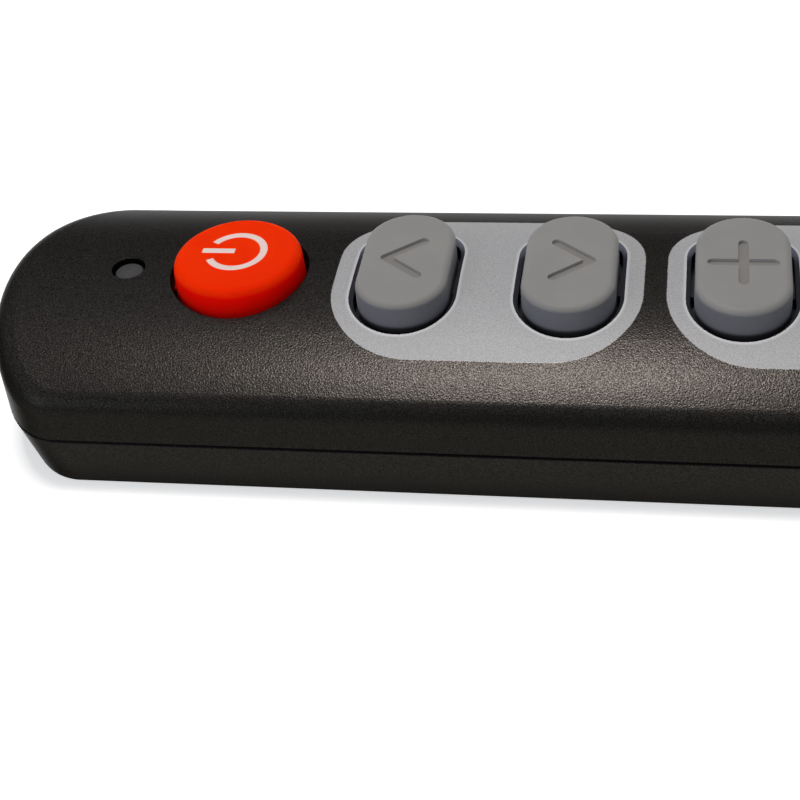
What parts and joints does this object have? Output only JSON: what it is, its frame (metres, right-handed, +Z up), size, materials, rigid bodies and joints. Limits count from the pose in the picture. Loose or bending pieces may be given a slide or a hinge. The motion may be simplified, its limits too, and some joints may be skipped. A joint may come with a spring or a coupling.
{
  "type": "remote control",
  "caption": "Slender infrared remote control with a crowned case, large sprung keys, silicone keypad, circuit board, battery cells and a sliding battery door.",
  "frame": {"origin": "under the middle of the case, on the flat underside that it lies on", "axes": "+X along the case from the infrared end to the tail, +Y across it, +Z up out of the keys"},
  "size_m": [0.151, 0.041, 0.0192],
  "materials": {
    "case": "fine speckled satin, charcoal",
    "key_red": "satin, orange red",
    "key_grey": "satin, mid grey",
    "silicone": "matt, translucent grey",
    "carbon": "matt black",
    "board": "green solder mask",
    "lens_grey": "smoked lens",
    "lens_dark": "smoked resin",
    "chip_black": "moulded epoxy",
    "can_metal": "satin",
    "cell_jacket": "printed sleeve",
    "contact_metal": "nickel plated",
    "screw_steel": "zinc plated"
  },
  "bodies": {
    "case": {"top_shell": "case", "bottom_shell": "case", "keypad_mat": "silicone", "circuit_board": "board", "indicator_led": "lens_grey", "infrared_emitter": "lens_dark", "infrared_receiver": "lens_dark", "controller_chip": "chip_black", "memory_chip": "chip_black", "driver_transistor": "chip_black", "chip_resistors": "chip_black", "crystal": "can_metal", "capacitor": "can_metal", "battery_cell_left": "cell_jacket", "battery_cell_right": "cell_jacket", "contact_plate_negative": "contact_metal", "contact_plate_positive": "contact_metal", "contact_bridge": "contact_metal", "contact_spring_front": "contact_metal", "contact_spring_rear": "contact_metal", "case_screws": "screw_steel", "board_screws": "screw_steel"},
    "door": {"battery_door": "case"},
    "power_button": {"key_power": "key_red", "contact_pill_power": "carbon"},
    "channel_up_button": {"key_channel_up": "key_grey", "contact_pill_channel_up": "carbon"},
    "channel_down_button": {"key_channel_down": "key_grey", "contact_pill_channel_down": "carbon"},
    "volume_up_button": {"key_volume_up": "key_grey", "contact_pill_volume_up": "carbon"},
    "volume_down_button": {"key_volume_down": "key_grey", "contact_pill_volume_down": "carbon"},
    "mute_button": {"key_mute": "key_grey", "contact_pill_mute": "carbon"}
  },
  "joints": [
    {"name": "door_slide", "type": "slide", "parent": "case", "child": "door", "axis": [1, 0, 0], "range_m": [0, 0.045]},
    {"name": "power_press", "type": "slide", "parent": "case", "child": "power_button", "axis": [0, 0, -1], "range_m": [0, 0.0008], "stiffness_N_per_m": 2500, "deforming": ["keypad_mat"]},
    {"name": "channel_up_press", "type": "slide", "parent": "case", "child": "channel_up_button", "axis": [0, 0, -1], "range_m": [0, 0.0008], "stiffness_N_per_m": 2500, "deforming": ["keypad_mat"]},
    {"name": "channel_down_press", "type": "slide", "parent": "case", "child": "channel_down_button", "axis": [0, 0, -1], "range_m": [0, 0.0008], "stiffness_N_per_m": 2500, "deforming": ["keypad_mat"]},
    {"name": "volume_up_press", "type": "slide", "parent": "case", "child": "volume_up_button", "axis": [0, 0, -1], "range_m": [0, 0.0008], "stiffness_N_per_m": 2500, "deforming": ["keypad_mat"]},
    {"name": "volume_down_press", "type": "slide", "parent": "case", "child": "volume_down_button", "axis": [0, 0, -1], "range_m": [0, 0.0008], "stiffness_N_per_m": 2500, "deforming": ["keypad_mat"]},
    {"name": "mute_press", "type": "slide", "parent": "case", "child": "mute_button", "axis": [0, 0, -1], "range_m": [0, 0.0008], "stiffness_N_per_m": 2500, "deforming": ["keypad_mat"]}
  ]
}
